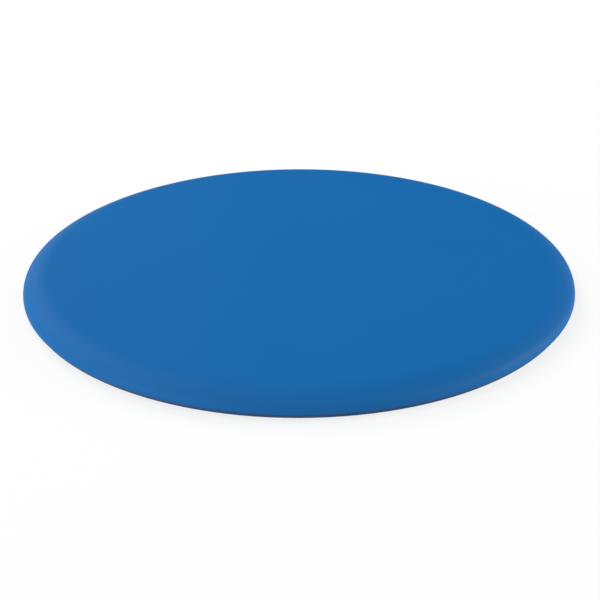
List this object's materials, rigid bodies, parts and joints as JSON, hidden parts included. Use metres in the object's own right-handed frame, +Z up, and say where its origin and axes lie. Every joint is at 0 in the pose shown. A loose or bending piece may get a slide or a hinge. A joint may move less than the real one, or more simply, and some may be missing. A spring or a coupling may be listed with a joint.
{
  "type": "pivot disc",
  "caption": "Low round pivot disc for standing transfers: a soft blue tread with a rolled rim turns freely on a caged ball race over a base plate with rubber floor grips.",
  "frame": {"origin": "on the floor, where the pivot axis meets it", "axes": "+Z up along the pivot axis; X and Y lie in the floor"},
  "size_m": [0.3999, 0.4, 0.018],
  "materials": {
    "tread_blue": "matte, fine grain",
    "plate_grey": "moulded, satin",
    "base_blue": "moulded, fine texture",
    "grip_rubber": "matte rubber",
    "felt_grey": "pressed felt",
    "pressed_steel": "pressed, zinc plated",
    "turned_steel": "turned",
    "ball_steel": "ground and polished",
    "spring_steel": "dark, oiled",
    "acetal_white": "turned or moulded acetal",
    "nylon_cream": "moulded nylon"
  },
  "bodies": {
    "base": {"base_plate": "base_blue", "floor_grip_ring": "grip_rubber", "floor_grip_pad": "grip_rubber", "lower_race": "pressed_steel", "glide_pads": "acetal_white", "rim_seal": "felt_grey", "pivot_spindle": "turned_steel", "spindle_screws": "turned_steel", "lower_thrust_washer": "acetal_white", "upper_thrust_washer": "acetal_white", "wave_washer": "spring_steel", "retaining_ring": "spring_steel"},
    "cage": {"ball_cage": "nylon_cream", "bearing_balls": "ball_steel"},
    "turntable": {"tread_cover": "tread_blue", "top_plate": "plate_grey", "upper_race": "pressed_steel", "runner_ring": "pressed_steel", "pivot_bush": "acetal_white", "hub_cap": "plate_grey"}
  },
  "joints": [
    {"name": "turntable_spin", "type": "hinge", "parent": "base", "child": "turntable", "pos_m": [0, 0, 0.0086], "axis": [0, 0, 1], "continuous": true},
    {"name": "cage_spin", "type": "hinge", "parent": "base", "child": "cage", "pos_m": [0, 0, 0.0086], "axis": [0, 0, 1], "continuous": true}
  ],
  "couplings": [
    {"joint": "cage_spin", "follows": "turntable_spin", "ratio": 0.5}
  ]
}
